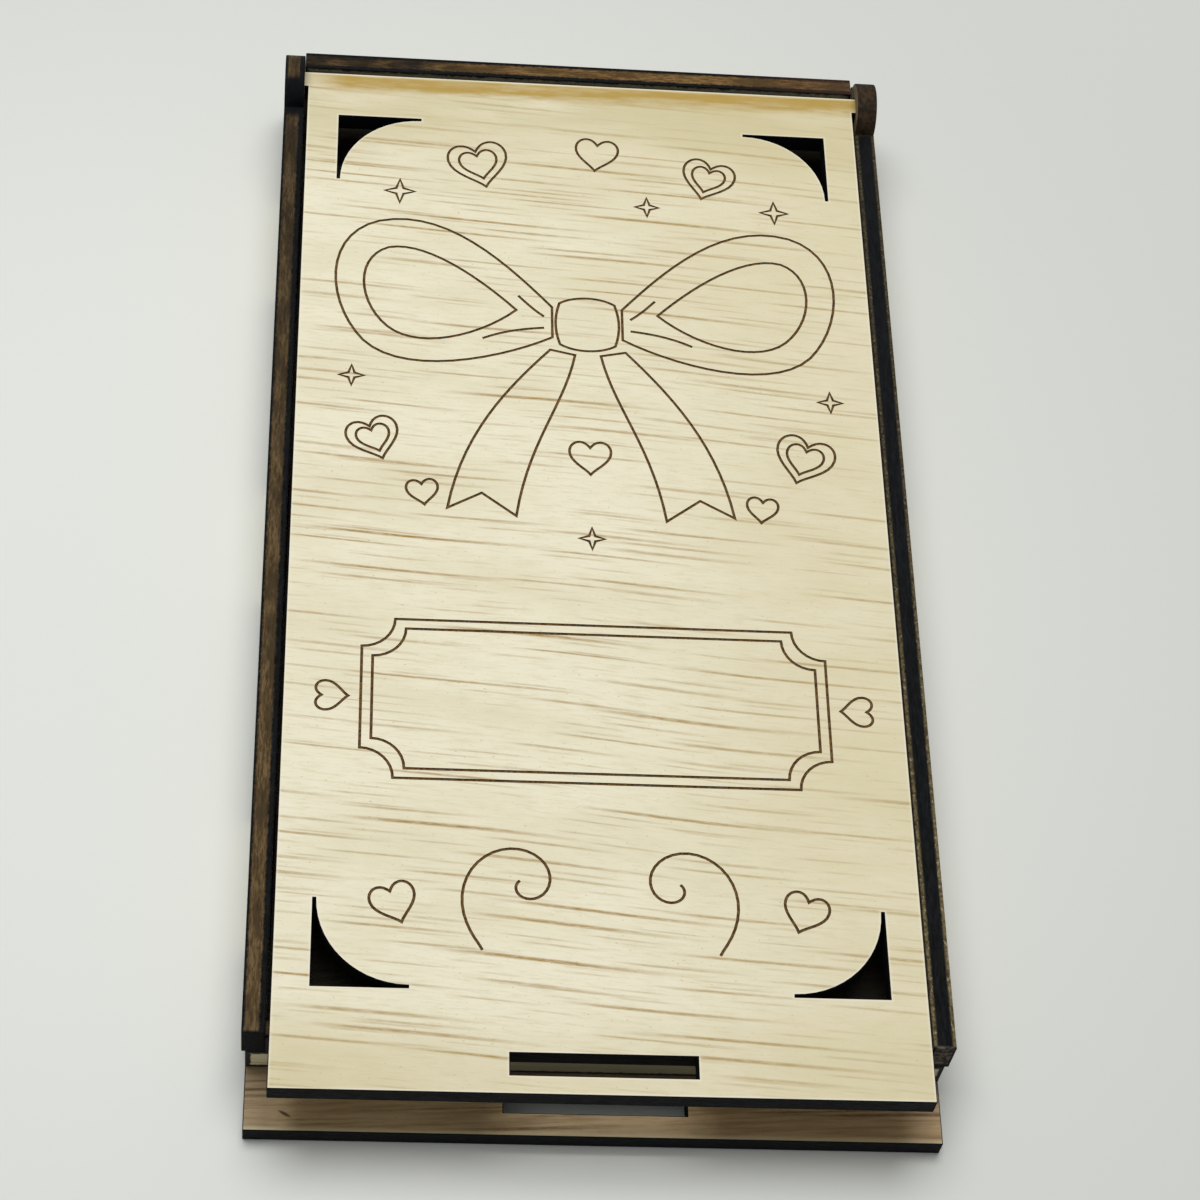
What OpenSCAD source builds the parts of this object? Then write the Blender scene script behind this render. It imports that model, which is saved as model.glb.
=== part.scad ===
// Gift card holder: a flat box of laser-cut plywood whose lid turns on its own square tabs.
// Millimetres. +Z is up and +Y runs from the opening edge to the hinge.
// The origin is the middle of the underside.

/* [Sheet and fits] */
// Thickness of the plywood that every piece is cut from
sheet = 3; // [2.5:0.1:4]
// Gap between the lid and each side wall
lid_gap = 0.5; // [0.3:0.1:0.8]
// Room between the corners of the lid's square tab and its round hole
tab_play = 0.08; // [0.04:0.01:0.1]
// Room that the lid's rear corners keep from the back wall as the lid swings
swing_room = 0.3; // [0.3:0.05:0.6]
// Kerf gap between each end of the back wall and the side wall beside it
end_gap = 0.4; // [0.1:0.1:0.8]
// How far the base, the fingers and the hinge tabs stop short of the side walls' outer faces
end_short = 0.5; // [0.2:0.1:0.8]

/* [Box] */
// Width inside, between the side walls
inner_w = 86; // [70:1:120]
// Height inside, from the base panel to the underside of the closed lid
inner_h = 9; // [7:0.5:16]
// Length of the lid from the hinge axis to its front edge
lid_reach = 168; // [120:1:200]
// Depth of the lips that the lid and the base carry ahead of the front wall
lip = 8.2; // [7:0.1:12]
// How much further forward the base's lip reaches than the lid's
base_ahead = 0.6; // [0.2:0.1:1.5]
// Wood left around the hinge hole in each knuckle
knuckle_wall = 2.3; // [1.5:0.1:2.5]

/* [Cut-outs] */
// Length of the ribbon slot in each lip
slot_w = 24; // [14:1:40]
// Width of the ribbon slot, front to back
slot_d = 3; // [2:0.1:4]
// Length of each straight side of a corner cut-out in the lid
corner_leg = 12.5; // [8:0.5:18]
// Width left at the two narrow tips of a corner cut-out
corner_tip = 0.3; // [0.2:0.1:0.6]
// Distance of the corner cut-outs from the lid's side edges
corner_side = 5; // [4:0.5:10]
// Distance of the rear corner cut-outs from the lid's rear edge
corner_rear = 8.6; // [6:0.1:15]
// Distance of the front corner cut-outs from the lid's front edge
corner_front = 14.3; // [13:0.1:25]

/* [Glued joints] */
// Height of the finger at each foot of the front wall and the back wall
finger_h = 4.8; // [3:0.1:6]
// Length of each tab under a side wall
side_tab_l = 20; // [10:1:24]
// Number of tabs under each side wall
side_tabs = 3; // [2:1:4]
// Width of each tab under the front wall and the back wall
cross_tab_w = 12; // [8:1:16]
// Distance between the two tabs under the front wall and the back wall, middle to middle
cross_tab_span = 46; // [36:1:50]

/* [Hidden] */
$fn = 96;

// hinge: the tab is as deep as it is thick, so its corners set the hole and the swing
tab_corner_r = sheet / sqrt(2);
hinge_hole_r = tab_corner_r + tab_play;
knuckle_r = hinge_hole_r + knuckle_wall;
swing_gap = tab_corner_r + swing_room;

// places along Y, from the base's front edge to the rear
length = base_ahead + lid_reach + swing_gap + sheet;
base_front = -length / 2;
lid_front = base_front + base_ahead;
wall_front = lid_front + lip;
hinge_y = lid_front + lid_reach;
lid_rear = hinge_y + sheet / 2;
wall_rear = base_front + length;
slot_y = lid_front + lip / 2;

// places along Z: the hinge axis is at the rails' level, in the middle of the lid's thickness
base_top = sheet;
lid_under = base_top + inner_h;
lid_top = lid_under + sheet;
rail_z = lid_under + sheet / 2;

// widths along X
outer_w = inner_w + 2 * sheet;
lid_w = inner_w - 2 * lid_gap;
// the base, the fingers and the hinge tabs all end on these two planes
joined_w = outer_w - 2 * end_short;

ply = [0.86, 0.78, 0.62];
ply_dark = [0.62, 0.5, 0.36];

// middle of tab number i under a side wall; the tabs share the wall's length evenly
function side_tab_y(i) = wall_front + (wall_rear - wall_front) * (i + 0.5) / side_tabs;

// a side wall's tabs, seen from the side or as the notches they fill in the base
module side_tab_row(low, depth) {
    for (i = [0 : side_tabs - 1])
        translate([side_tab_y(i) - side_tab_l / 2, low])
            square([side_tab_l, depth]);
}

// the two tabs of a cross wall, seen from the front or as the openings they fill in the base
module cross_tab_pair(low, depth) {
    for (side = [-1, 1])
        translate([side * cross_tab_span / 2 - cross_tab_w / 2, low])
            square([cross_tab_w, depth]);
}

// outline of a side wall: rail, knuckle and tabs, less the hinge hole and the finger notches
module side_outline() {
    difference() {
        union() {
            translate([wall_front, base_top])
                square([wall_rear - wall_front, rail_z - base_top]);
            translate([hinge_y, rail_z])
                circle(r = knuckle_r);
            side_tab_row(0, base_top);
        }
        translate([hinge_y, rail_z])
            circle(r = hinge_hole_r);
        translate([wall_front, base_top])
            square([sheet, finger_h]);
        translate([wall_rear - sheet, base_top])
            square([sheet, finger_h]);
    }
}

// a side wall on the right, its outer face just proud of the base's edge
module side_wall() {
    color(ply)
        translate([inner_w / 2, 0, 0])
            rotate([90, 0, 90])
                linear_extrude(sheet)
                    side_outline();
}

// outline of a cross wall: a plate, a finger at each foot and two tabs into the base
module cross_outline(plate_w, top) {
    translate([-plate_w / 2, base_top])
        square([plate_w, top - base_top]);
    translate([-joined_w / 2, base_top])
        square([joined_w, finger_h]);
    cross_tab_pair(0, base_top);
}

// a plate standing across the box, its rear face at the given place
module standing(rear_face) {
    translate([0, rear_face, 0])
        rotate([90, 0, 0])
            linear_extrude(sheet)
                children();
}

// one right-angled cut-out with an inward arc, its corner at the origin, opening to +X +Y
module corner_cut() {
    difference() {
        square(corner_leg);
        translate([corner_leg, corner_leg])
            circle(r = corner_leg - corner_tip);
    }
}

module ribbon_slot() {
    translate([-slot_w / 2, slot_y - slot_d / 2])
        square([slot_w, slot_d]);
}

module base_panel() {
    color(ply_dark)
        linear_extrude(sheet)
            difference() {
                translate([-joined_w / 2, base_front])
                    square([joined_w, length]);
                ribbon_slot();
                // notches that the side walls' tabs drop into
                for (side = [0, 1])
                    mirror([side, 0])
                        translate([outer_w / 2, 0])
                            rotate(90)
                                side_tab_row(0, sheet);
                cross_tab_pair(wall_front, sheet);
                cross_tab_pair(wall_rear - sheet, sheet);
            }
}

module left_side_wall() {
    mirror([1, 0, 0])
        side_wall();
}

module right_side_wall() {
    side_wall();
}

module front_wall() {
    color(ply)
        standing(wall_front + sheet)
            cross_outline(inner_w, lid_under);
}

module back_wall() {
    color(ply)
        standing(wall_rear)
            cross_outline(inner_w - 2 * end_gap, lid_top);
}

// outline of the lid with its hinge tabs, seen from above
module lid_outline() {
    difference() {
        translate([-lid_w / 2, lid_front])
            square([lid_w, lid_rear - lid_front]);
        ribbon_slot();
        for (side = [0, 1])
            mirror([side, 0]) {
                translate([corner_side - lid_w / 2, lid_front + corner_front])
                    corner_cut();
                translate([corner_side - lid_w / 2, lid_rear - corner_rear])
                    mirror([0, 1])
                        corner_cut();
            }
    }
    // square tabs that turn in the side walls' round holes
    translate([-joined_w / 2, hinge_y - sheet / 2])
        square([joined_w, sheet]);
}

module lid() {
    color(ply)
        translate([0, 0, lid_under])
            linear_extrude(sheet)
                lid_outline();
}

base_panel();
left_side_wall();
right_side_wall();
front_wall();
back_wall();
lid();
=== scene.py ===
# %% [markdown]
# Gift card holder of laser-cut plywood.
# The box is six flat pieces cut by a laser from one thin sheet. What makes it look real is
# the difference between three surfaces: the pale veneer of the faces, the scorched edges
# that the laser left, and the fine burnt lines engraved in the lid.
# This lesson dresses the six packed solids with those surfaces, one step at a time.

# %% Load the packed model as the frame
import math

import bmesh
import bpy
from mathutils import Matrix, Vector


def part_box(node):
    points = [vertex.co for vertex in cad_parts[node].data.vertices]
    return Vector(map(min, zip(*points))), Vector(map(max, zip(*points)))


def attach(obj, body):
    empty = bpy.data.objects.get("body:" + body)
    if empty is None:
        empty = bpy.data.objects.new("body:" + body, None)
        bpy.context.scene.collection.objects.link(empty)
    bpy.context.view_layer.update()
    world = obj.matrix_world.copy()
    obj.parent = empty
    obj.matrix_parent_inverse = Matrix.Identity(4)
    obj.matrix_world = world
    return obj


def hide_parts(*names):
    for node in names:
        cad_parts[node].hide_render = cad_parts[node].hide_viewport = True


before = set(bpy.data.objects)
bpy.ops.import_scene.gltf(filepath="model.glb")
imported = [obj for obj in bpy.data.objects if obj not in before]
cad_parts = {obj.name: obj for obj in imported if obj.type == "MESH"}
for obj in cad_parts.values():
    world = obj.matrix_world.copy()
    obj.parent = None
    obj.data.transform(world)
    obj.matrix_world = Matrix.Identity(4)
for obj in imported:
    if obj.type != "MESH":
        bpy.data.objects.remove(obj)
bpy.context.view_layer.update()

MM = 0.001

# %% [markdown]
# Many finishes below change at a known place on the box, such as the rear of the lid or the
# middle of a sheet's thickness. Typing such places in by hand would go wrong as soon as the
# solids change, so they are asked from the packed solids. The side walls' rails end at
# the middle of the lid's thickness, which is why RAIL_TOP comes from the lid.


# %% Places on the packed solids, in mm
def low_of(node, axis):
    """The lowest place of a solid along one axis."""
    return getattr(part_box(node)[0], axis) / MM


def high_of(node, axis):
    """The highest place of a solid along one axis."""
    return getattr(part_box(node)[1], axis) / MM


def sheet_middle(node, axis):
    """How far the middle of a sheet's thickness lies from the origin."""
    return abs(low_of(node, axis) + high_of(node, axis)) / 2


LID_FRONT = low_of("lid", "y")
LID_REAR = high_of("lid", "y")
SHEET = high_of("lid", "z") - low_of("lid", "z")
HINGE = LID_REAR - SHEET / 2
LIP_FRONT = low_of("base_panel", "y")
LIP_LEFT = low_of("base_panel", "x")
FRONT_WALL_FRONT = low_of("front_wall", "y")
FRONT_WALL_REAR = high_of("front_wall", "y")
SIDE_WALL_FRONT = low_of("left_side_wall", "y")
SIDE_WALL_MIDDLE = sheet_middle("right_side_wall", "x")
RAIL_TOP = sheet_middle("lid", "z")
print("Sheet in mm:", round(SHEET, 2))
print("Lid from", round(LID_FRONT, 1), "to", round(LID_REAR, 1), "mm, hinge at", round(HINGE, 1))

# %% [markdown]
# The camera looks down on the box from a little in front of its opening edge. The
# photograph is a crop of a larger picture, so its lens axis isn't quite in the middle of
# the frame, and a lens shift stands for that. Turning the camera instead would change how
# the long sides run together. The shift is kept small, because it also moves the box out
# of the middle when the camera goes round it.

# %% Camera
PHOTO_PX = 1200
FOCAL_PX = 3040.1
LENS_AXIS_PX = 576
CAMERA_PLACE = (-0.03869, -0.24019, 0.36910)
CAMERA_TURN = (0.57097, -0.09133, -0.01658)

camera_data = bpy.data.cameras.new("photo_camera")
camera_data.sensor_width = 36
camera_data.lens = camera_data.sensor_width * FOCAL_PX / PHOTO_PX
camera_data.shift_x = 0.5 - LENS_AXIS_PX / PHOTO_PX
camera_data.clip_start = 0.01
camera = bpy.data.objects.new("photo_camera", camera_data)
camera.location = CAMERA_PLACE
camera.rotation_euler = CAMERA_TURN
bpy.context.scene.collection.objects.link(camera)
bpy.context.scene.camera = camera
print("Lens in mm:", round(camera_data.lens, 1), "with a shift of", round(camera_data.shift_x, 3))

# %% [markdown]
# A node tree can be drawn by hand in the Shader Editor, or built in code. In code each
# node takes three or four lines, and the recipe drowns in them. A small helper keeps a
# recipe readable: it adds a node, fills its sockets, and gives back the result. A socket
# gets a link where the value comes from another node, and a plain value otherwise.


# %% A short way to write shader nodes
class Recipe:
    """A material while it is being mixed. Its x, y and z are the place on the box in mm."""

    def __init__(self, name):
        self.material = bpy.data.materials.new(name)
        self.material.use_nodes = True
        self.tree = self.material.node_tree
        self.tree.nodes.clear()
        place = self.tree.nodes.new("ShaderNodeTexCoord").outputs["Object"]
        self.place = self.scaled(place, (1 / MM, 1 / MM, 1 / MM))
        self.x, self.y, self.z = self.split(self.place)

    def fill(self, socket, value):
        """Links the socket to another node's output, or sets a plain value on it."""
        if isinstance(value, bpy.types.NodeSocket):
            self.tree.links.new(value, socket)
        else:
            socket.default_value = value

    def add(self, kind, settings=(), *numbered, **named):
        """A new node. Values without a name fill its first sockets, in order."""
        node = self.tree.nodes.new("ShaderNode" + kind)
        for key, value in dict(settings).items():
            setattr(node, key, value)
        for socket, value in zip(node.inputs, numbered):
            self.fill(socket, value)
        for key, value in named.items():
            self.fill(node.inputs[key.replace("_", " ")], value)
        return node

    def split(self, vector):
        return self.add("SeparateXYZ", Vector=vector).outputs

    def joined(self, x, y, z):
        return self.add("CombineXYZ", (), x, y, z).outputs[0]

    def axes(self, first, second):
        """The places along two named axes, and along the one that is left."""
        third = next(name for name in "xyz" if name not in (first, second))
        return getattr(self, first), getattr(self, second), getattr(self, third)

    def calc(self, operation, *values):
        return self.add("Math", {"operation": operation}, *values).outputs[0]

    def times(self, first, second):
        return self.calc("MULTIPLY", first, second)

    def less(self, first, second):
        return self.calc("SUBTRACT", first, second)

    def size_of(self, value):
        return self.calc("ABSOLUTE", value)

    def scaled(self, vector, scale):
        """Coordinates that run faster by these factors, which squeezes what they carry."""
        return self.add("VectorMath", {"operation": "MULTIPLY"}, vector, scale).outputs[0]

    def moved(self, vector, offset):
        return self.add("VectorMath", {"operation": "ADD"}, vector, offset).outputs[0]

    def turned(self, vector, angle):
        settings = {"rotation_type": "Z_AXIS"}
        return self.add("VectorRotate", settings, Vector=vector, Angle=angle).outputs[0]

    def length(self, vector):
        return self.add("VectorMath", {"operation": "LENGTH"}, vector).outputs["Value"]

    def noise(self, vector, scale, detail=2.0, roughness=0.5):
        node = self.add("TexNoise", Vector=vector, Scale=scale, Detail=detail, Roughness=roughness)
        return node.outputs[0]

    def fade(self, value, start, end, low=0.0, high=1.0):
        """Low where the value is at start, high where it is at end, and soft between."""
        settings = {"interpolation_type": "SMOOTHSTEP"}
        return self.add("MapRange", settings, value, start, end, low, high).outputs[0]

    def mix(self, share, first, second, blend="MIX"):
        settings = {"data_type": "RGBA", "clamp_factor": True, "blend_type": blend}
        node = self.add("Mix", settings)
        self.fill(node.inputs[0], share)
        self.fill(node.inputs[6], first)
        self.fill(node.inputs[7], second)
        return node.outputs[2]

    def finish(self, colour, roughness, height, depth, specular=0.3):
        """Ends the recipe in a shader: colour, roughness, and a bump of this depth in mm."""
        bump = self.add("Bump", Strength=1.0, Distance=depth * MM, Height=height).outputs[0]
        shader = self.add("BsdfPrincipled", Base_Color=colour, Roughness=roughness, Normal=bump)
        shader.inputs["Specular IOR Level"].default_value = specular
        self.add("OutputMaterial", Surface=shader.outputs[0])
        return self.material


print("Helpers in a recipe:", sum(1 for name in vars(Recipe) if not name.startswith("_")))

# %% [markdown]
# A colour that looks right in a picture isn't the number that a shader wants, because
# pictures store light on a curve. The colours here are written as a picture shows them,
# which is how they can be compared with the photograph, and one function converts them.


# %% Colours as a picture shows them
def srgb(red, green, blue):
    """A colour from 0 to 255, turned into the light values that a shader needs."""
    parts = [part / 255 for part in (red, green, blue)]
    linear = [part / 12.92 if part <= 0.04045 else ((part + 0.055) / 1.055) ** 2.4 for part in parts]
    return (*linear, 1.0)


def dimmed(colour, share):
    """The same colour with this share of its light."""
    return tuple(part * share for part in colour[:3]) + (1.0,)


PALE = srgb(235, 229, 204)
WARM = srgb(218, 209, 174)
STREAK = srgb(156, 119, 44)
SOOT = srgb(8, 10, 13)
BROWN_CORE = srgb(122, 98, 64)
print("Soot gives back", round(100 * SOOT[1], 2), "percent of the light")

# %% [markdown]
# The faces are a pale veneer with straight tan streaks, each one to four centimetres long
# and about a third of a millimetre thick. An image of wood would bring its own scale and
# light. Stretched noise gives wavy smears instead of lines. So the face is ruled into
# rows, each row is cut into lengths, and dice for every length decide whether it holds a
# streak, how dark it is, and where it lies. Both ends of a streak fade out.

# %% Coordinates along the grain
WAVE_HEIGHT = 3.0


def grain_space(recipe, along, across, turn, seed):
    """Coordinates in mm with X along the grain, turned by a few degrees and gently waved.

    Each seed lands on another part of the noise, so that no two pieces look alike.
    """
    flat = recipe.joined(*recipe.axes(along, across))
    turned = recipe.turned(flat, math.radians(turn))
    placed = recipe.moved(turned, (seed * 97.0, seed * 61.0, seed * 13.0))
    wave = recipe.noise(recipe.scaled(placed, (0.015, 0.015, 0.02)), 1.0, detail=1)
    lift = recipe.times(recipe.less(wave, 0.5), WAVE_HEIGHT)
    return recipe.moved(placed, recipe.joined(0.0, lift, 0.0))


print("The grain waves by up to", WAVE_HEIGHT / 2, "mm to each side")

# %% Streaks of the veneer
BOLD = {"length": 44.0, "pitch": 2.9, "width": 0.44, "share": 0.75}
MIDDLING = {"length": 30.0, "pitch": 2.1, "width": 0.36, "share": 0.6}
FINE = {"length": 16.0, "pitch": 1.2, "width": 0.28, "share": 0.55}


def streak_rows(recipe, grain, length, pitch, width, share):
    """One streak at most in each length of each row: 1 in its middle, 0 between streaks.

    The pitch goes into the dice as well, so that each kind of streak falls differently.
    """
    along, across, _ = recipe.split(grain)
    row_place = recipe.calc("DIVIDE", across, pitch)
    row = recipe.calc("FLOOR", row_place)
    row_dice = recipe.add("TexWhiteNoise", {"noise_dimensions": "1D"}, W=row).outputs[0]
    place = recipe.calc("ADD", recipe.calc("DIVIDE", along, length), recipe.times(row_dice, 7.0))
    cell = recipe.joined(recipe.calc("FLOOR", place), row, pitch)
    dice = recipe.add("TexWhiteNoise", {"noise_dimensions": "3D"}, Vector=cell).outputs[1]
    height, reach, chance = recipe.split(dice)

    middle = recipe.calc("MULTIPLY_ADD", height, 0.6, 0.2)
    away = recipe.size_of(recipe.less(recipe.calc("FRACT", row_place), middle))
    thick = recipe.calc("MULTIPLY_ADD", chance, 0.5 * width, 0.6 * width)
    from_core = recipe.calc("DIVIDE", recipe.times(away, pitch), thick)
    body = recipe.fade(from_core, 0.15, 1.0, 1.0, 0.0)

    run_length = recipe.calc("MULTIPLY_ADD", reach, 0.55, 0.45)
    run = recipe.calc("DIVIDE", recipe.calc("FRACT", place), run_length)
    ends = recipe.times(recipe.fade(run, 0.0, 0.3), recipe.fade(run, 0.45, 1.0, 1.0, 0.0))
    there = recipe.times(recipe.calc("LESS_THAN", chance, share), run_length)
    return recipe.times(recipe.times(body, ends), there)


def all_streaks(recipe, grain):
    """Bold, middling and fine streaks, broken up a little along their way."""
    bold = streak_rows(recipe, grain, **BOLD)
    middling = streak_rows(recipe, recipe.moved(grain, (11.0, 1.3, 0.0)), **MIDDLING)
    fine = streak_rows(recipe, recipe.moved(grain, (5.0, 0.7, 0.0)), **FINE)
    stronger = recipe.calc("MAXIMUM", bold, recipe.times(middling, 0.8))
    most = recipe.calc("MAXIMUM", stronger, recipe.times(fine, 0.45))
    broken = recipe.noise(recipe.scaled(grain, (0.5, 4.0, 4.0)), 1.0, detail=3, roughness=0.7)
    return recipe.times(most, recipe.fade(broken, 0.3, 0.6, 0.5, 1.0))


for kind in (BOLD, MIDDLING, FINE):
    print("Streaks up to", kind["length"], "mm long, in rows", kind["pitch"], "mm apart")

# %% [markdown]
# Behind the streaks the veneer is clouded between a pale and a warmer tone, and it is finely speckled
# by its pores. Close to a cut it looks different: blackened by smoke on the front and back walls, and
# pale on the lid, where a painted highlight runs along the cut. How close a point is to a cut can't be
# told from its place alone, so each piece's mesh carries that as an attribute called scorch: 1 at the
# cut and 0 a little way in.

# %% Veneer
VENEER_RELIEF = 0.04
PLAIN_ROUGHNESS = 0.72


def veneer_ground(recipe, grain, pale, warm, streak, strength):
    """The colour of the wood itself, and how much of a streak there is at each point."""
    cloud = recipe.noise(recipe.scaled(grain, (0.025, 0.08, 0.08)), 1.0, detail=3, roughness=0.6)
    ground = recipe.mix(recipe.fade(cloud, 0.35, 0.75, 0.0, 0.7), pale, warm)
    fibres = recipe.noise(recipe.scaled(grain, (0.3, 2.6, 2.6)), 1.0, detail=4, roughness=0.75)
    fibrous = recipe.mix(recipe.fade(fibres, 0.44, 0.72, 0.0, 0.75), ground, warm)
    pores = recipe.noise(recipe.scaled(grain, (1.6, 3.5, 3.5)), 1.0, detail=1)
    speckled = recipe.mix(recipe.fade(pores, 0.68, 0.82, 0.0, 0.5), fibrous, streak)
    share = all_streaks(recipe, grain)
    return recipe.mix(recipe.times(share, strength), speckled, streak), share


def sanded_roughness(recipe, grain):
    """Sanded wood, a little shinier in places."""
    return recipe.fade(recipe.noise(grain, 0.35, detail=2), 0.3, 0.7, 0.62, 0.78)


def finish_veneer(recipe, grain, colour, share, roughness=PLAIN_ROUGHNESS):
    """Ends a veneer. Its fibres stand up a little, and its streaks lie a little lower."""
    fibres = recipe.noise(recipe.scaled(grain, (0.12, 5.0, 5.0)), 1.0, detail=3, roughness=0.7)
    height = recipe.less(fibres, recipe.times(share, 0.6))
    return recipe.finish(colour, roughness, height, VENEER_RELIEF)


print("Relief of the fibres in mm:", VENEER_RELIEF)

# %% Veneer close to a cut
SCORCH_REACH = 0.9
RIM_START = 0.6
RIM_HIGHLIGHT = srgb(240, 234, 218)


def blackened(recipe, colour, start, full):
    """Soot along every cut, with a ragged front. Start and full are values of scorch."""
    closeness = recipe.add("Attribute", {"attribute_name": "scorch"}).outputs["Fac"]
    ragged = recipe.noise(recipe.place, 1.1, detail=3, roughness=0.6)
    front = recipe.calc("ADD", closeness, recipe.times(recipe.less(ragged, 0.5), 0.9))
    return recipe.mix(recipe.fade(front, start, full), colour, SOOT)


def painted_highlight_rim(recipe, colour):
    """A thin bright line along every cut, painted as a highlight on the veneer."""
    closeness = recipe.add("Attribute", {"attribute_name": "scorch"}).outputs["Fac"]
    # Painted highlight: a pale line close to every cut.
    return recipe.mix(recipe.fade(closeness, RIM_START, 0.9, 0.0, 0.4), colour, RIM_HIGHLIGHT)


print("The pale rim is", round((1 - RIM_START) * SCORCH_REACH, 2), "mm wide")

# %% [markdown]
# A laser burns its way through the sheet. The edge it leaves is charcoal near both faces,
# where the glue line and the veneer burn most, and brown in the core. Where a piece was
# cut slowly the whole edge is black, and only the veneers show as two thin brown lines.
# Both looks are one recipe: a core and a border, told apart by the distance from the middle
# of the sheet. A function for one wall's own places can repaint parts of it at the end.

# %% Scorched edge
CORE_DARK = 0.28
BORDER_DARK = 0.3


def scorched_edge(name, through, along, middle, core, border, border_start, seed, zones=None):
    """A cut edge. Its axes are named, and middle is the place of the sheet's half thickness.

    border_start is how far from the middle, in mm, the border begins.
    """
    recipe = Recipe(name)
    depth, length, other = recipe.axes(through, along)
    from_middle = recipe.less(recipe.size_of(depth), middle)
    row = recipe.joined(from_middle, length, other)
    place = recipe.moved(row, (seed * 31.0, seed * 17.0, seed * 7.0))
    fibres = recipe.noise(recipe.scaled(place, (3.2, 0.5, 1.0)), 1.0, detail=4, roughness=0.75)
    patches = recipe.noise(recipe.scaled(place, (0.5, 0.11, 0.3)), 1.0, detail=3, roughness=0.65)
    ragged = recipe.noise(place, 1.3, detail=4, roughness=0.75)

    dark_core = dimmed(core, CORE_DARK)
    colour = recipe.mix(recipe.fade(fibres, 0.36, 0.64, 0.0, 0.92), core, dark_core)
    colour = recipe.mix(recipe.fade(patches, 0.44, 0.6, 0.0, 0.85), colour, dark_core)
    border_colour = recipe.mix(recipe.fade(ragged, 0.44, 0.6), border, dimmed(border, BORDER_DARK))
    reach = recipe.calc("MULTIPLY_ADD", recipe.less(ragged, 0.5), 0.7, recipe.size_of(from_middle))
    on_border = recipe.fade(reach, border_start - 0.1, border_start + 0.25)
    colour = recipe.mix(on_border, colour, border_colour)
    if zones:
        colour = zones(recipe, colour)
    roughness = recipe.fade(fibres, 0.3, 0.7, 0.6, 0.85)
    return recipe.finish(colour, roughness, ragged, 0.1, specular=0.1)


print("Dark fibres keep", round(100 * CORE_DARK), "percent of the core's light")

# %% [markdown]
# Each solid is copied, its triangles are joined back into flat faces, and its sharp edges
# get a tiny round, because even a laser-cut edge isn't a razor and the round catches the
# light. The broad faces keep the veneer, and everything the laser cut gets the scorched
# edge, which is told by the way a face looks: along the sheet's thickness or across it.
# An inset ring on each broad face then gives the scorch attribute its slope.

# %% Rounded copies of the packed solids
AXIS = {"x": Vector((1, 0, 0)), "y": Vector((0, 1, 0)), "z": Vector((0, 0, 1))}
EDGE_ROUND = 0.12
SHARP = math.radians(40)
FLAT = math.radians(0.5)
FACE, EDGE, LINE = 0, 1, 2


def rounded_copy(node, through):
    """A copy of a solid with rounded edges. Through is the axis of the sheet's thickness."""
    shape = bmesh.new()
    shape.from_mesh(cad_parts[node].data)
    bmesh.ops.remove_doubles(shape, verts=shape.verts, dist=0.001 * MM)
    bmesh.ops.dissolve_limit(shape, angle_limit=FLAT, verts=shape.verts, edges=shape.edges)
    joined = [edge for edge in shape.edges if edge.is_manifold]
    sharp = [edge for edge in joined if edge.calc_face_angle() > SHARP]
    bmesh.ops.bevel(
        shape, geom=sharp, offset=EDGE_ROUND * MM, segments=2, profile=0.5, affect="EDGES", material=-1
    )
    bmesh.ops.recalc_face_normals(shape, faces=shape.faces)
    for face in shape.faces:
        face.material_index = FACE if abs(face.normal.dot(AXIS[through])) > 0.99 else EDGE
    return shape


def add_scorch(shape):
    """Insets the broad faces, and marks every point with 1 at a cut and 0 inside the inset."""
    scorch = shape.verts.layers.float.new("scorch")
    for point in shape.verts:
        point[scorch] = 1.0
    broad = [face for face in shape.faces if face.material_index == FACE]
    reach = SCORCH_REACH * MM
    bmesh.ops.inset_region(shape, faces=broad, thickness=reach, depth=0.0, use_even_offset=True)
    for face in broad:
        for point in face.verts:
            point[scorch] = 0.0
    return broad


print("Edges are rounded by", EDGE_ROUND, "mm")


# %% From a shape to a finished piece
def dress(shape, node, body, slot, *materials):
    """Makes the shape an object that stands for its node and moves with its body."""
    bmesh.ops.triangulate(shape, faces=[face for face in shape.faces if len(face.verts) > 4])
    mesh = bpy.data.meshes.new("cut_" + node)
    shape.to_mesh(mesh)
    shape.free()
    for material in materials:
        mesh.materials.append(material)
    piece = bpy.data.objects.new("cut_" + node, mesh)
    bpy.context.scene.collection.objects.link(piece)
    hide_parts(node)
    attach(piece, body)
    print(node, "faces:", len(mesh.polygons))


def cut_piece(node, body, slot, through, face_material, edge_material):
    """A plain piece of the sheet, from its solid to its finish."""
    shape = rounded_copy(node, through)
    add_scorch(shape)
    dress(shape, node, body, slot, face_material, edge_material)


print("Pieces to dress:", len(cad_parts))

# %% [markdown]
# The base panel is the box's floor, and its front is the lower lip. The lip is browner and more banded
# than the lid, with a small knot at its left, a pale line along its front edge, and a dark shade by
# the front wall. Inside the box the photograph's cut-outs look nearly black, so painted shade makes
# the floor there much darker. A second sheet could carry the dark floor, but the real base is one
# piece, so its colour changes at the front wall instead. There INSIDE_SHADE says how much red, green
# and blue the floor keeps.

# %% Base panel
KNOT = (LIP_LEFT + 5.3, LIP_FRONT + 2.4)
INSIDE_SHADE = (0.27, 0.33, 0.4, 1.0)
LIP_COLOURS = srgb(196, 174, 136), srgb(166, 138, 100), srgb(92, 62, 38)
LIP_BAND = srgb(120, 88, 56)
LIP_SHADE = srgb(62, 50, 38)
LIP_LINE = srgb(206, 196, 160)
KNOT_BROWN = srgb(44, 30, 18)


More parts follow.
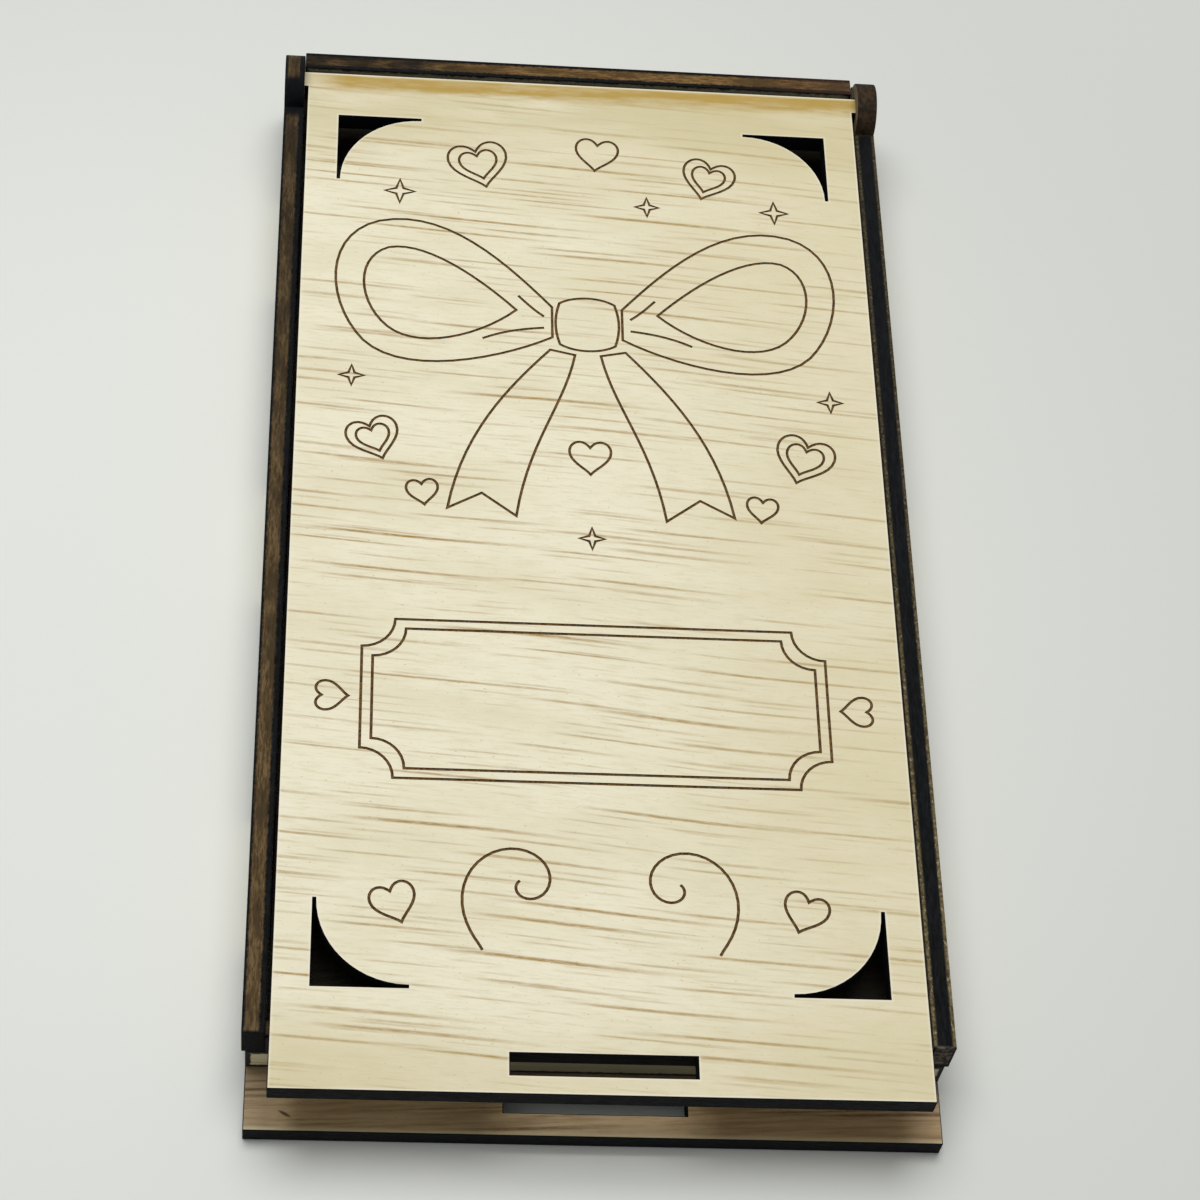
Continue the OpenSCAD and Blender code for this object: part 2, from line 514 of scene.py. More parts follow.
def lip_marks(recipe, grain, colour):
    """Bands, shade by the wall and at the left end, the pale front line, and the knot."""
    bands = recipe.noise(recipe.scaled(grain, (0.06, 1.3, 1.0)), 1.0, detail=3, roughness=0.6)
    colour = recipe.mix(recipe.fade(bands, 0.44, 0.64, 0.0, 0.4), colour, LIP_BAND)
    near_wall = recipe.fade(recipe.y, FRONT_WALL_FRONT - 3.5, FRONT_WALL_FRONT - 0.5, 0.0, 0.6)
    left_end = recipe.fade(recipe.x, LIP_LEFT + 5.5, LIP_LEFT + 2.5, 0.0, 0.4)
    colour = recipe.mix(recipe.calc("MAXIMUM", near_wall, left_end), colour, LIP_SHADE)
    front_line = recipe.fade(recipe.y, LIP_FRONT + 0.9, LIP_FRONT + 0.3, 0.0, 0.5)
    colour = recipe.mix(front_line, colour, LIP_LINE)
    from_knot = recipe.turned(recipe.moved(recipe.place, (-KNOT[0], -KNOT[1], 0.0)), 0.5)
    knot_reach = recipe.length(recipe.scaled(from_knot, (0.8, 3.2, 0.0)))
    return recipe.mix(recipe.fade(knot_reach, 1.0, 0.35, 0.0, 0.85), colour, KNOT_BROWN)


def base_veneer():
    """Tan on the lip, and darkened by painted shade on the floor inside the box."""
    recipe = Recipe("base_veneer")
    grain = grain_space(recipe, "x", "y", turn=-2, seed=3)
    colour, share = veneer_ground(recipe, grain, *LIP_COLOURS, 1.0)
    colour = lip_marks(recipe, grain, colour)
    # Painted shade on the floor inside the box, behind the front wall.
    behind = recipe.fade(recipe.y, FRONT_WALL_REAR - 0.5, FRONT_WALL_REAR + 0.5)
    on_top = recipe.fade(recipe.z, SHEET - 0.5, SHEET - 0.1)
    dark = recipe.mix(1.0, colour, INSIDE_SHADE, blend="MULTIPLY")
    colour = recipe.mix(recipe.times(behind, on_top), colour, dark)
    return finish_veneer(recipe, grain, colour, share)


base_middle = sheet_middle("base_panel", "z")
base_edge = scorched_edge(
    "base_edge", "z", "x", base_middle, core=SOOT, border=SOOT, border_start=1.1, seed=1
)
cut_piece("base_panel", "box", "base_ply", "z", base_veneer(), base_edge)

# %% [markdown]
# The side walls stand on edge, so from above only their cut rails show. The left rail has a brown core
# that lies off the middle, because the laser came in at a slant. The right rail is black between two
# speckled brown lines. On both, the front end, the knuckle of the hinge and how dark the rail is
# differ from place to place. Vertex paint could hold that, but it would need many more points, so soft
# steps along the wall's length are used.

# %% Places on the side walls that the laser treated otherwise
KNUCKLE_BROWN = srgb(64, 47, 31)
KNUCKLE_DARK = srgb(28, 25, 19)
SPECK = srgb(170, 158, 134)
END_GREY = srgb(98, 89, 77)
END_DARK = srgb(38, 35, 33)


def at_front_end(recipe):
    """1 on the face of a side wall's front end, and 0 behind it."""
    return recipe.fade(recipe.y, SIDE_WALL_FRONT + 0.5, SIDE_WALL_FRONT + 0.1)


def left_wall_zones(recipe, colour):
    """Black on the front end and the front half of the knuckle, and darker towards the rear."""
    behind_its_front = recipe.fade(recipe.y, HINGE - 6.8, HINGE - 5.4)
    before_its_top = recipe.fade(recipe.y, HINGE - 1.6, HINGE - 2.4)
    knuckle = recipe.times(behind_its_front, before_its_top)
    colour = recipe.mix(recipe.fade(recipe.y, -40.0, 70.0, 0.0, 0.4), colour, SOOT)
    return recipe.mix(recipe.calc("MAXIMUM", at_front_end(recipe), knuckle), colour, SOOT)


def right_wall_zones(recipe, colour):
    """Pale specks on its lines, darker to the rear, a brown knuckle, a grey front end."""
    across = recipe.size_of(recipe.less(recipe.x, SIDE_WALL_MIDDLE))
    stretched = recipe.scaled(recipe.place, (2.6, 1.4, 2.0))
    specks = recipe.noise(stretched, 1.0, detail=3, roughness=0.7)
    on_lines = recipe.times(recipe.fade(across, 0.9, 1.1), recipe.fade(specks, 0.55, 0.64, 0.0, 0.7))
    colour = recipe.mix(on_lines, colour, SPECK)
    colour = recipe.mix(recipe.fade(recipe.y, -60.0, 30.0, 0.0, 0.62), colour, SOOT)

    speckle = recipe.noise(recipe.place, 1.3, detail=4, roughness=0.7)
    knuckle = recipe.mix(recipe.fade(speckle, 0.35, 0.62, 0.0, 0.9), KNUCKLE_BROWN, KNUCKLE_DARK)
    colour = recipe.mix(recipe.fade(recipe.y, HINGE - 5.2, HINGE - 4.2), colour, knuckle)
    colour = recipe.mix(recipe.fade(recipe.y, HINGE + 2.1, HINGE + 2.9), colour, SOOT)

    low_down = recipe.fade(recipe.z, RAIL_TOP - 4.5, RAIL_TOP - 5.1)
    burnt = recipe.calc("MAXIMUM", recipe.fade(across, 1.0, 1.35), low_down)
    end = recipe.mix(recipe.fade(speckle, 0.42, 0.58), END_GREY, END_DARK)
    return recipe.mix(at_front_end(recipe), colour, recipe.mix(burnt, end, SOOT))


print("Side walls' front ends at", round(SIDE_WALL_FRONT, 1), "mm")

# %% [markdown]
# The faces of the side walls are hidden in the photograph, so they get the lid's veneer in a greyer
# tone, with a brown band along the top of their walls that is partly smoke stain and partly painted
# shade. One material serves both walls, because its noise is laid through space and falls differently
# on each.

# %% Side walls
LEFT_CORE_SHIFT = 0.2
WALL_PALE = srgb(208, 199, 168)
WALL_WARM = srgb(194, 181, 143)
WALL_SMOKE_AND_SHADE = srgb(84, 66, 46)
WALL_STREAKS = 0.8
LEFT_BROWN = srgb(110, 89, 58)
RIGHT_LINES = srgb(114, 101, 70)


def wall_veneer():
    """Pale in the middle, and brown along the top, where most cuts run: partly smoke stain, partly
    painted shade.
    """
    recipe = Recipe("wall_veneer")
    grain = grain_space(recipe, "y", "z", turn=2, seed=5)
    colour, share = veneer_ground(recipe, grain, WALL_PALE, WALL_WARM, STREAK, WALL_STREAKS)
    ragged = recipe.noise(recipe.place, 0.5, detail=3)
    height = recipe.calc("MULTIPLY_ADD", ragged, 2.0, recipe.z)
    # Brown along the top: partly smoke stain, partly painted shade.
    smoke = recipe.fade(height, RAIL_TOP - 1.0, RAIL_TOP + 3.0, 0.0, 0.85)
    colour = recipe.mix(smoke, colour, WALL_SMOKE_AND_SHADE)
    return finish_veneer(recipe, grain, colour, share)


wall_face = wall_veneer()
left_middle = SIDE_WALL_MIDDLE + LEFT_CORE_SHIFT
left_edge = scorched_edge(
    "left_wall_edge", "x", "y", left_middle,
    core=LEFT_BROWN, border=SOOT, border_start=0.85, seed=2, zones=left_wall_zones,
)
right_edge = scorched_edge(
    "right_wall_edge", "x", "y", SIDE_WALL_MIDDLE,
    core=SOOT, border=RIGHT_LINES, border_start=0.94, seed=3, zones=right_wall_zones,
)
cut_piece("left_side_wall", "box", "wall_ply", "x", wall_face, left_edge)
cut_piece("right_side_wall", "box", "wall_ply", "x", wall_face, right_edge)

# %% [markdown]
# The front wall hides under the lid. It shows in two places: dim through the lid's slot, and as the
# light ends of its two fingers in front of the side walls, each with a black rim. One veneer does
# both: painted shade darkens its front between the side walls, and it is pale beyond.

# %% Front wall
PAINTED_FRONT_SHADE = srgb(84, 82, 62)
INNER_SIDE = SIDE_WALL_MIDDLE - SHEET / 2


def front_wall_veneer():
    """Its front is darkened by painted shade between the side walls, and black all round its rim."""
    recipe = Recipe("front_wall_veneer")
    grain = grain_space(recipe, "x", "z", turn=1, seed=7)
    colour, share = veneer_ground(recipe, grain, WALL_PALE, WALL_WARM, STREAK, WALL_STREAKS)
    # Painted shade: the front is darker between the side walls, where the lid shades it.
    on_front = recipe.fade(recipe.y, FRONT_WALL_FRONT + 0.6, FRONT_WALL_FRONT + 0.4)
    between = recipe.fade(recipe.size_of(recipe.x), INNER_SIDE, INNER_SIDE - 2.0, 0.0, 0.7)
    colour = recipe.mix(recipe.times(on_front, between), colour, PAINTED_FRONT_SHADE)
    colour = blackened(recipe, colour, 0.16, 0.5)
    return finish_veneer(recipe, grain, colour, share)


front_middle = sheet_middle("front_wall", "y")
front_edge = scorched_edge(
    "front_wall_edge", "y", "x", front_middle, core=BROWN_CORE, border=SOOT, border_start=0.85, seed=4
)
cut_piece("front_wall", "box", "wall_ply", "y", front_wall_veneer(), front_edge)

# %% [markdown]
# The back wall closes the rear, and its top edge is the brown strip behind the lid: darker
# in its left quarter and redder at its right end. In the photograph it stands closer to
# the left wall than to the right one, which is play in the assembly. Moving the whole wall
# would push its finger into the side wall, so only its left end above the finger is drawn
# outwards, by a third of a millimetre.

# %% Edge and face of the back wall
STRIP_CORE = srgb(136, 105, 62)
STRIP_RED = srgb(62, 42, 33)
DARK_UP_TO = -20.0
RED_FROM = 22.0
RED_LENGTH = 20.0


def back_wall_zones(recipe, colour):
    """The left quarter is darker, and the right end is redder."""
    patches = recipe.fade(recipe.noise(recipe.place, 0.2, detail=3), 0.3, 0.6, 0.5, 1.0)
    on_left = recipe.fade(recipe.x, DARK_UP_TO + 6.0, DARK_UP_TO - 6.0, 0.0, 0.85)
    darker = recipe.times(on_left, patches)
    redder = recipe.fade(recipe.x, RED_FROM, RED_FROM + RED_LENGTH, 0.0, 0.6)
    colour = recipe.mix(redder, colour, STRIP_RED)
    return recipe.mix(darker, colour, SOOT)


def back_wall_veneer():
    """Like the side walls, with a narrow ragged line of soot along its cuts."""
    recipe = Recipe("back_wall_veneer")
    grain = grain_space(recipe, "x", "z", turn=1, seed=8)
    colour, share = veneer_ground(recipe, grain, WALL_PALE, WALL_WARM, STREAK, WALL_STREAKS)
    colour = blackened(recipe, colour, 0.35, 0.95)
    return finish_veneer(recipe, grain, colour, share, sanded_roughness(recipe, grain))


print("Top of the brown strip at", round(high_of("back_wall", "z"), 1), "mm")

# %% Back wall
LEFT_END = -42.6
LEFT_END_REACH = 2 * EDGE_ROUND
CLOSER = 0.36

back_middle = sheet_middle("back_wall", "y")
back_edge = scorched_edge(
    "back_wall_edge", "y", "x", back_middle,
    core=STRIP_CORE, border=SOOT, border_start=0.8, seed=5, zones=back_wall_zones,
)
back_wall = rounded_copy("back_wall", "y")
add_scorch(back_wall)
end_points = [point for point in back_wall.verts if abs(point.co.x / MM - LEFT_END) < LEFT_END_REACH]
bmesh.ops.translate(back_wall, verts=end_points, vec=(-CLOSER * MM, 0, 0))
print("Points moved at the left end:", len(end_points))
dress(back_wall, "back_wall", "box", "wall_ply", back_wall_veneer(), back_edge)

# %% [markdown]
# The lid carries a line drawing that a laser engraved at low power: brown grooves less than half a
# millimetre wide. The drawing here is a plain gift bow with hearts and stars, and an empty label below
# it. It could be an image or a texture of curves, but lines that are geometry stay sharp close up.
# Each line starts as a row of points in mm on the lid.


# %% Curves for the drawing
def bend(start, first, second, end, steps):
    """Points on a curve that two handles pull, from start to just before end."""
    points = []
    for step in range(steps):
        t = step / steps
        s = 1 - t
        shares = (s ** 3, 3 * s * s * t, 3 * s * t * t, t ** 3)
        corners = (start, first, second, end)
        x = sum(share * corner[0] for share, corner in zip(shares, corners))
        y = sum(share * corner[1] for share, corner in zip(shares, corners))
        points.append((x, y))
    return points


def path(start, *bends, steps=14):
    """Bends joined end to end. Each names its two handles and its end."""
    points = []
    for first, second, end in bends:
        points += bend(start, first, second, end, steps)
        start = end
    return points + [start]


def placed(points, at=(0, 0), size=1.0, turn=0.0, flip=False):
    """The points mirrored if asked, then turned by degrees, scaled and moved."""
    cosine = math.cos(math.radians(turn))
    sine = math.sin(math.radians(turn))
    moved = []
    for x, y in points:
        side = -x if flip else x
        turned = (cosine * side - sine * y, sine * side + cosine * y)
        moved.append((at[0] + size * turned[0], at[1] + size * turned[1]))
    return moved


print("Points on one bend:", len(path((0, 0), ((1, 0), (2, 1), (3, 1)))))


# %% Shapes for the drawing
def heart(at, size, turn=0.0):
    """A heart of this width in mm, from its tip round the right lobe to the notch, and back."""
    side = ((0.12, -0.32), (0.5, -0.14), (0.5, 0.16))
    shoulder = ((0.5, 0.34), (0.38, 0.45), (0.25, 0.45))
    lobe = path((0, -0.5), side, shoulder, steps=8)
    notch = path((0.25, 0.45), ((0.14, 0.45), (0.06, 0.37), (0, 0.28)), steps=4)
    half = lobe[:-1] + notch
    other = [(-x, y) for x, y in reversed(half[1:-1])]
    return placed(half + other, at, size, turn)


def star(at, size):
    """A star with four long points."""
    points = []
    for corner in range(8):
        reach = 0.5 if corner % 2 == 0 else 0.17
        angle = math.radians(45 * corner + 90)
        points.append((reach * math.cos(angle), reach * math.sin(angle)))
    return placed(points, at, size)


def label(at, width, height, scoop, steps=8):
    """An oblong whose corners are scooped out by quarter circles."""
    points = []
    for side, end, first in ((1, 1, 270), (-1, 1, 0), (-1, -1, 90), (1, -1, 180)):
        corner = (at[0] + side * width / 2, at[1] + end * height / 2)
        for step in range(steps + 1):
            angle = math.radians(first - 90 * step / steps)
            points.append((corner[0] + scoop * math.cos(angle), corner[1] + scoop * math.sin(angle)))
    return points


def scroll(at, size, turn, flip, steps=40):
    """A spiral that uncoils into a long curve."""
    points = []
    for step in range(steps + 1):
        t = step / steps
        angle = 2.6 * math.pi * (1 - t) ** 1.3
        reach = 0.08 + 0.92 * t ** 1.6
        points.append((reach * math.cos(angle), reach * math.sin(angle)))
    return placed(points, at, size, turn, flip)


print("Points on a heart:", len(heart((0, 0), 1)))

# %% [markdown]
# A bow is two loops, two tails and a knot. The right half is drawn from a few handles, and
# the left half is its mirror image, so the two always match.

# %% The bow
BOW = (0, 36)
closed_lines, open_lines = [], []

loop_outside = path(
    (5.2, 3.0),
    ((12, 11), (21, 21), (31, 18)),
    ((39.5, 15), (38.5, 2), (33, -4.5)),
    ((27, -11), (13, -7), (5.2, -2.6)),
)
loop_inside = path(
    (10.5, 2.2),
    ((16, 8), (24, 14.5), (29.5, 13)),
    ((34.5, 11), (34, 2.5), (29.5, -1.8)),
    ((25, -6), (16, -3), (10.5, 2.2)),
)[:-1]
tail_side = path((2.2, -5.6), ((4.5, -15), (10, -21), (12.5, -34)))
tail_cut = [(17.2, -30.0)]
tail_return = path((22.2, -32.5), ((19.5, -20), (13, -12), (5.8, -4.6)))
tail = tail_side + tail_cut + tail_return
crease_high = path((6.4, 1.2), ((8, 2.4), (9, 3.6), (10.2, 4.9)), steps=6)
crease_low = path((6.4, -0.9), ((9, -1.2), (12, -1.6), (15.5, -3.3)), steps=8)
for flip in (False, True):
    turn = 3 if flip else -3
    closed_lines.append(placed(loop_outside, BOW, flip=flip))
    closed_lines.append(placed(loop_inside, BOW, flip=flip))
    closed_lines.append(placed(tail, BOW, turn=turn, flip=flip))
    open_lines.append(placed(crease_high, BOW, flip=flip))
    open_lines.append(placed(crease_low, BOW, flip=flip))

knot_half = path(
    (0, 4.9),
    ((1.8, 4.9), (3.2, 4.4), (4.1, 3.8)),
    ((4.9, 1.2), (4.9, -1.2), (4.1, -3.8)),
    ((3.2, -4.4), (1.8, -4.9), (0, -4.9)),
    steps=7,
)
knot = knot_half[:-1] + [(-x, y) for x, y in reversed(knot_half)][:-1]
closed_lines.append(placed(knot, BOW))
print("Bow lines:", len(closed_lines) + len(open_lines))

# %% [markdown]
# The rest of the drawing fills the lid as evenly as an engraver would: hearts and stars
# round the bow, an empty label below it, and two scrolls by the opening edge. Each is one
# shape that is placed many times at its own size and turn. The larger hearts are doubled.

# %% Hearts, stars, the empty label and the scrolls
HEARTS = (
    (-16, 66, 9, 14), (2, 69, 6.5, -6), (19, 65, 8, -16), (-31, 14, 7.5, 20),
    (-24, 5, 4.5, 8), (31, 13, 8.5, -18), (24.5, 4, 4.5, -6), (0, 12, 6, 0),
)
STARS = (
    (-28, 60, 4.5), (9.5, 59, 3.6), (29, 59, 4.2),
    (-34.5, 25, 3.6), (35.5, 23.5, 3.6), (0, -2, 3.6),
)
DOUBLE_FROM = 7
INNER_HEART = 0.64
LABEL = (0, -29)
LABEL_WIDTH = 64
LABEL_HEIGHT = 25
LABEL_SCOOP = 4.5

for x, y, size, turn in HEARTS:
    closed_lines.append(heart((x, y), size, turn))
    if size > DOUBLE_FROM:
        closed_lines.append(heart((x, y), INNER_HEART * size, turn))
for x, y, size in STARS:
    closed_lines.append(star((x, y), size))
for inset in (0, 3):
    closed_lines.append(label(LABEL, LABEL_WIDTH - inset, LABEL_HEIGHT - inset, LABEL_SCOOP))
for side in (-1, 1):
    closed_lines.append(heart((LABEL[0] + side * 36, LABEL[1]), 4.6, side * -90))
for flip in (False, True):
    side = -1 if flip else 1
    open_lines.append(scroll((side * 10, -57), 11, side * -60, flip))
    closed_lines.append(heart((side * 27, -60), 6, side * -20))
print("Lines in all:", len(closed_lines) + len(open_lines))

# %% [markdown]
# A line with width is two rows of points, one on each side of the drawn one. On a closed
# line they make a ring, and on an open line one long loop. The flat top of the lid is
# taken away and filled again between its rim and these loops, then the loops are drawn
# down into walls and the floors are filled. That way the grooves are truly cut in.

# %% From drawn lines to grooves
LINE_WIDTH = 0.4
LINE_DEPTH = 0.16
SHARPEST_MITRE = 0.35


def beside(points, distance, is_closed):
    """The row of points moved sideways, with mitred corners."""
    moved = []
    last = len(points) - 1
    for index, point in enumerate(points):
        here = Vector(point)
        before = Vector(points[index - 1]) if index or is_closed else None
        after = Vector(points[(index + 1) % len(points)]) if index < last or is_closed else None
        ways = [(here - before).normalized()] if before else []
        ways += [(after - here).normalized()] if after else []
        sides = [Vector((-way.y, way.x)) for way in ways]
        spread = max(1 + sides[0].dot(sides[-1]), SHARPEST_MITRE)
        moved.append(here + (sides[0] + sides[-1]) * distance / spread)
    return moved


def groove_loops(closed, opened):
    """The outlines of all grooves: two for a closed line, and one for an open line."""
    half = LINE_WIDTH / 2
    loops = []
    for points in closed:
        loops += [beside(points, half, True), beside(points, -half, True)]
    for points in opened:
        loops.append(beside(points, half, False) + beside(points, -half, False)[::-1])
    return loops


def outline_edges(shape, loop, height):
    """A closed row of edges at this height, in metres, through the loop's points."""
    points = [shape.verts.new((x * MM, y * MM, height)) for x, y in loop]
    return [shape.edges.new((points[i - 1], points[i])) for i in range(len(points))]


def fill_flat(shape, edges):
    """Fills the area between the given edges with triangles that look up."""
    return bmesh.ops.triangle_fill(
        shape, edges=edges, use_beauty=True, use_dissolve=False, normal=(0, 0, 1)
    )["geom"]


print("Grooves", LINE_WIDTH, "mm wide and", LINE_DEPTH, "mm deep")

# %% Engrave the lid
lid_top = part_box("lid")[1].z
lid = rounded_copy("lid", "z")
inner_faces = add_scorch(lid)
top_faces = [face for face in inner_faces if face.normal.z > 0.99]
bmesh.ops.delete(lid, geom=top_faces, context="FACES")
rim = [edge for edge in lid.edges if edge.is_boundary]
lines = []
for loop in groove_loops(closed_lines, open_lines):
    lines += outline_edges(lid, loop, lid_top)
fill_flat(lid, rim + lines)

drawn_down = bmesh.ops.extrude_edge_only(lid, edges=lines)["geom"]
floor_points = {part for part in drawn_down if isinstance(part, bmesh.types.BMVert)}
floor_edges = [part for part in drawn_down if isinstance(part, bmesh.types.BMEdge)]
groove_faces = [part for part in drawn_down if isinstance(part, bmesh.types.BMFace)]
bmesh.ops.translate(lid, verts=list(floor_points), vec=(0, 0, -LINE_DEPTH * MM))
floor_rim = [edge for edge in floor_edges if floor_points.issuperset(edge.verts)]
groove_faces += [part for part in fill_flat(lid, floor_rim) if isinstance(part, bmesh.types.BMFace)]
for face in groove_faces:
    face.material_index = LINE
bmesh.ops.recalc_face_normals(lid, faces=lid.faces)
print("Open edges on the engraved lid:", sum(1 for edge in lid.edges if not edge.is_manifold))

# %% [markdown]
# The lid's veneer has more to tell than the other faces. Smoke has stained a band along
# its rear edge orange, and the face turns warmer towards the rear, the right and the front
# edge. These depend only on the place on the lid, so they are drawn from its coordinates.
# The engraved lines are brown, and darker where the laser slowed down.

# %% Tones of the lid
REAR_HAZE = srgb(196, 184, 138)
RIGHT_TONE = srgb(206, 194, 152)
FRONT_TONE = srgb(198, 184, 138)
REAR_BAND = srgb(178, 148, 74)
HAZE_REACH = 30.0
FRONT_REACH = 14.0


def warmer_sides(recipe, colour, from_rear):
    """A haze near the rear, and a warmer tone towards the right."""
    haze_noise = recipe.noise(recipe.scaled(recipe.place, (0.03, 0.12, 0.1)), 1.0, detail=2)
    near_rear = recipe.fade(from_rear, 0.0, HAZE_REACH, 0.8, 0.0)
    haze = recipe.times(near_rear, recipe.fade(haze_noise, 0.25, 0.7))
    colour = recipe.mix(haze, colour, REAR_HAZE)
    on_right = recipe.fade(recipe.x, -10.0, 44.0, 0.0, 0.5)
    to_right = recipe.times(on_right, recipe.fade(haze_noise, 0.2, 0.6, 0.6, 1.0))
    return recipe.mix(to_right, colour, RIGHT_TONE)


def rear_band(recipe, colour, from_rear):
    """A smeared orange band along the rear edge, faint at its left end."""
    smear = recipe.noise(recipe.scaled(recipe.place, (0.12, 0.8, 1.0)), 1.0, detail=4, roughness=0.65)
    depth = recipe.calc("MULTIPLY_ADD", smear, -2.2, from_rear)
    band = recipe.times(recipe.fade(from_rear, 0.1, 0.7), recipe.fade(depth, 0.9, 3.2, 1.0, 0.0))
    share = recipe.times(band, recipe.fade(smear, 0.35, 0.6, 0.7, 1.0))
    share = recipe.times(share, recipe.fade(recipe.x, -43.0, -36.0, 0.2, 1.0))
    return recipe.mix(share, colour, REAR_BAND)


def warmer_front(recipe, colour):
    """A warmer tone by the front edge, most of it at the left."""
    near_front = recipe.fade(recipe.y, LID_FRONT + FRONT_REACH, LID_FRONT, 0.0, 0.5)
    at_left = recipe.fade(recipe.x, 20.0, -30.0, 0.4, 1.0)
    return recipe.mix(recipe.times(near_front, at_left), colour, FRONT_TONE)


print("The haze reaches", HAZE_REACH, "mm from the rear, and the front tone", FRONT_REACH, "mm")

# %% Lid finish
LINE_BROWN = srgb(118, 90, 52)
LINE_DARK = srgb(66, 48, 28)


def lid_veneer():
    """The finest veneer of the box, with the lid's own tones and a painted highlight along its rim."""
    recipe = Recipe("lid_veneer")
    grain = grain_space(recipe, "x", "y", turn=4.5, seed=1)
    colour, share = veneer_ground(recipe, grain, PALE, WARM, STREAK, 1.0)
    from_rear = recipe.less(LID_REAR, recipe.y)
    colour = warmer_sides(recipe, colour, from_rear)
    colour = rear_band(recipe, colour, from_rear)
    colour = warmer_front(recipe, colour)
    # Painted highlight along every cut of the lid.
    colour = painted_highlight_rim(recipe, colour)
    return finish_veneer(recipe, grain, colour, share, sanded_roughness(recipe, grain))


def burnt_line():
    """Brown and finely speckled, for the engraved grooves."""
    recipe = Recipe("burnt_line")
    speckle = recipe.noise(recipe.place, 3.0, detail=3, roughness=0.7)
    colour = recipe.mix(recipe.fade(speckle, 0.35, 0.65), LINE_BROWN, LINE_DARK)
    return recipe.finish(colour, 0.85, speckle, 0.05, specular=0.1)


lid_edge = scorched_edge(
    "lid_edge", "z", "x", sheet_middle("lid", "z"), core=SOOT, border=SOOT, border_start=1.1, seed=6
)
dress(lid, "lid", "lid", "lid_ply", lid_veneer(), lid_edge, burnt_line())

# %% [markdown]
# The box lies on a plain pale table with a faint unevenness. It is one large square, so that no edge
# of it comes into view. Its colour, not extra light, makes it pale. The photograph's table is a little
# darker away from the box, which is painted here as a falloff of light. It is darker still where it
# shows through the slot in the base, which is painted shade, because soft light from above doesn't
# give it by itself. Far away the lamp no longer reaches the table, which would leave a dark horizon
# when the camera goes round. There the camera sees the table's plain colour without any shading.

# %% Table
TABLE_HALF = 2.5
TABLE_SHADES = srgb(222, 224, 219), srgb(225, 227, 222)
TABLE_FALLOFF = srgb(207, 209, 204)
UNDER_BOX_SHADE = srgb(152, 157, 156)
BRIGHTEST = (-60.0, -10.0)
AWAY_START = 30.0
AWAY_FULL = 190.0
UNDER_WIDTH = 42.0
UNDER_LENGTH = 85.0

table_shape = bmesh.new()
bmesh.ops.create_grid(table_shape, x_segments=1, y_segments=1, size=TABLE_HALF)
table_mesh = bpy.data.meshes.new("table")
table_shape.to_mesh(table_mesh)
table_shape.free()
table = bpy.data.objects.new("table", table_mesh)
bpy.context.scene.collection.objects.link(table)

top = Recipe("table_top")
cloud = top.noise(top.place, 0.01, detail=2)
table_pale = top.mix(cloud, *TABLE_SHADES)
# Painted falloff of light: the table darkens away from its brightest spot.
distance = top.length(top.moved(top.place, (-BRIGHTEST[0], -BRIGHTEST[1], 0.0)))
table_colour = top.mix(top.fade(distance, AWAY_START, AWAY_FULL), table_pale, TABLE_FALLOFF)
# Painted shade under the box, seen through the slot in the base.
under_width = top.fade(top.size_of(top.x), UNDER_WIDTH + 2.0, UNDER_WIDTH)
under_length = top.fade(top.size_of(top.y), UNDER_LENGTH + 1.0, UNDER_LENGTH)
table_colour = top.mix(top.times(under_width, under_length), table_colour, UNDER_BOX_SHADE)
table_mesh.materials.append(top.finish(table_colour, 0.6, cloud, 0.02))
print("Table in m:", 2 * TABLE_HALF)

# %% The table far away
FAR_PALE = srgb(216, 218, 213)
FAR_START = 260.0
FAR_FULL = 620.0

lit_table = top.tree.nodes["Principled BSDF"].outputs[0]
plain_table = top.add("Emission", Color=FAR_PALE, Strength=1.0).outputs[0]
rays_on_table = top.add("LightPath").outputs
indirect = top.calc("MAXIMUM", rays_on_table["Is Glossy Ray"], rays_on_table["Is Transmission Ray"])
seen = top.calc("MAXIMUM", rays_on_table["Is Camera Ray"], indirect)
far = top.times(top.fade(distance, FAR_START, FAR_FULL), seen)
both = top.add("MixShader", (), far, lit_table, plain_table).outputs[0]
top.tree.links.new(both, top.tree.nodes["Material Output"].inputs["Surface"])
print("Beyond", FAR_FULL, "mm the camera sees the table's plain colour")

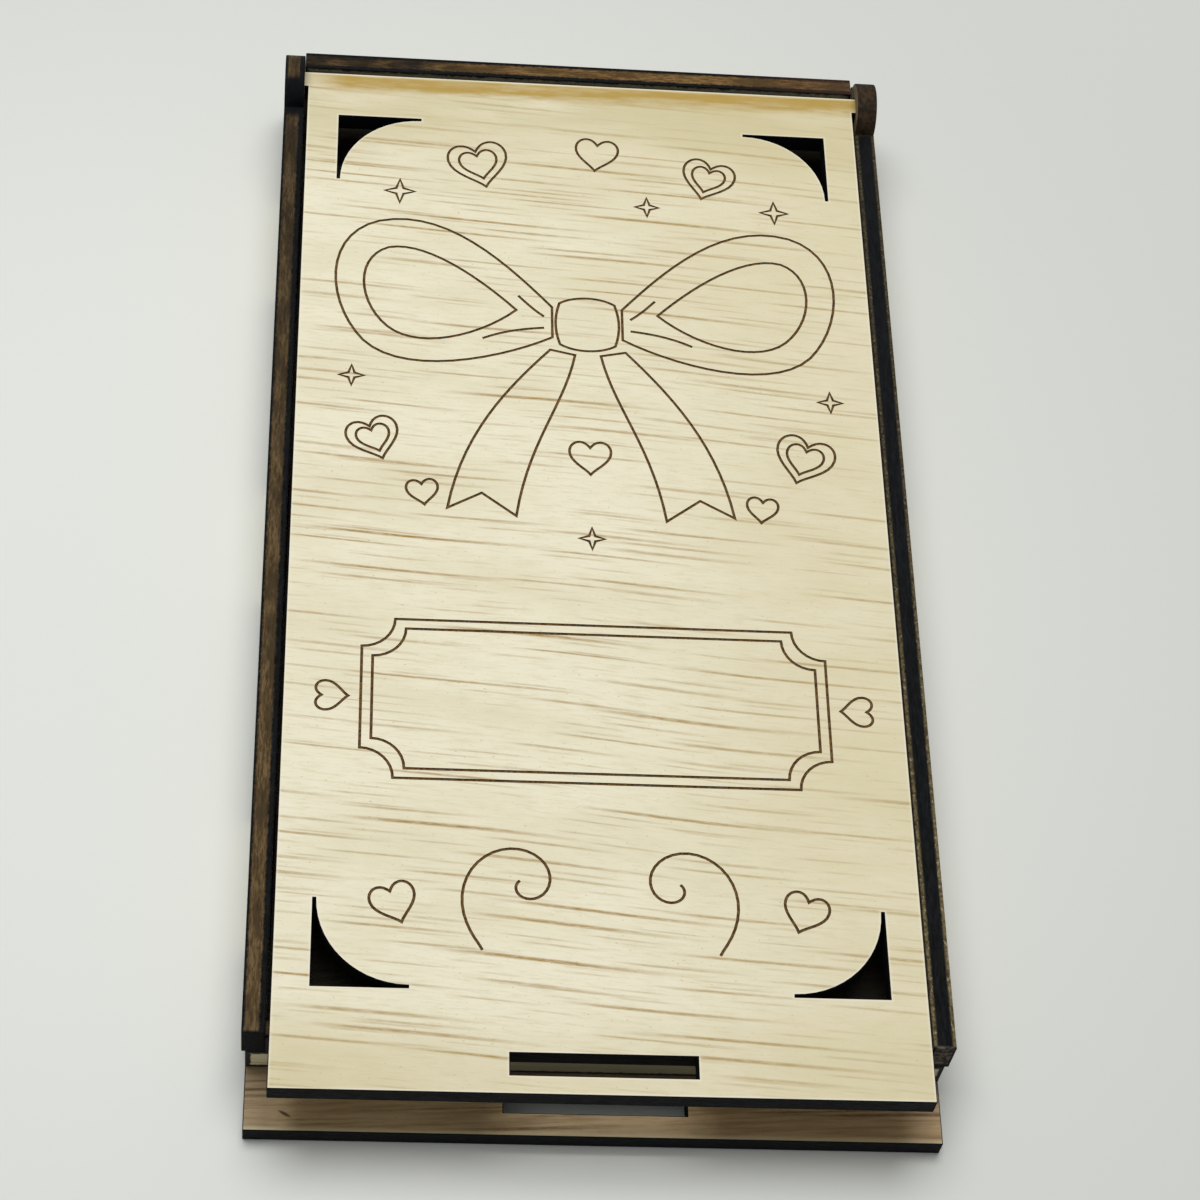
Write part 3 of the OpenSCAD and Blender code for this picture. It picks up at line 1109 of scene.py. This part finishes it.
# %% [markdown]
# The photograph has soft light from above and a little from behind: every shadow is wide
# and faint. Several small lamps would each draw a shadow of their own, so one large oval
# lamp gives the light, and the room adds the rest from all sides. The camera and the
# reflections see a pale room, which adds no light to the box.

# %% The room
ROOM_LIGHT = 0.27

world = bpy.data.worlds.new("soft_room")
bpy.context.scene.world = world
world.use_nodes = True
room = world.node_tree
lit_room = room.nodes["Background"]
lit_room.inputs["Color"].default_value = (1.0, 1.0, 1.0, 1.0)
lit_room.inputs["Strength"].default_value = ROOM_LIGHT
seen_room = room.nodes.new("ShaderNodeBackground")
seen_room.inputs["Color"].default_value = FAR_PALE
rays = room.nodes.new("ShaderNodeLightPath")
is_seen = rays.outputs["Is Camera Ray"]
for kind in ("Is Glossy Ray", "Is Transmission Ray"):
    either = room.nodes.new("ShaderNodeMath")
    either.operation = "MAXIMUM"
    room.links.new(is_seen, either.inputs[0])
    room.links.new(rays.outputs[kind], either.inputs[1])
    is_seen = either.outputs[0]
room_mix = room.nodes.new("ShaderNodeMixShader")
room.links.new(is_seen, room_mix.inputs[0])
room.links.new(lit_room.outputs[0], room_mix.inputs[1])
room.links.new(seen_room.outputs[0], room_mix.inputs[2])
room.links.new(room_mix.outputs[0], room.nodes["World Output"].inputs["Surface"])
print("Room light:", ROOM_LIGHT)

# %% The lamp
LAMP_PLACE = Vector((-0.1, 0.27, 1.2))
LAMP_WIDTH = 1.14
LAMP_DEPTH = 0.75
LAMP_WATTS = 12.8

lamp_data = bpy.data.lights.new("ceiling", "AREA")
lamp_data.shape = "ELLIPSE"
lamp_data.size = LAMP_WIDTH
lamp_data.size_y = LAMP_DEPTH
lamp_data.energy = LAMP_WATTS
lamp = bpy.data.objects.new("ceiling", lamp_data)
lamp.location = LAMP_PLACE
lamp.rotation_euler = (-LAMP_PLACE).to_track_quat("-Z", "Y").to_euler()
bpy.context.scene.collection.objects.link(lamp)
print("Lamp height in m:", round(LAMP_PLACE.z, 2))

# %% [markdown]
# The scene keeps the view transform plain, so that a colour in a recipe comes out as it was written.

# %% Finish
bpy.context.scene.view_settings.view_transform = "Standard"
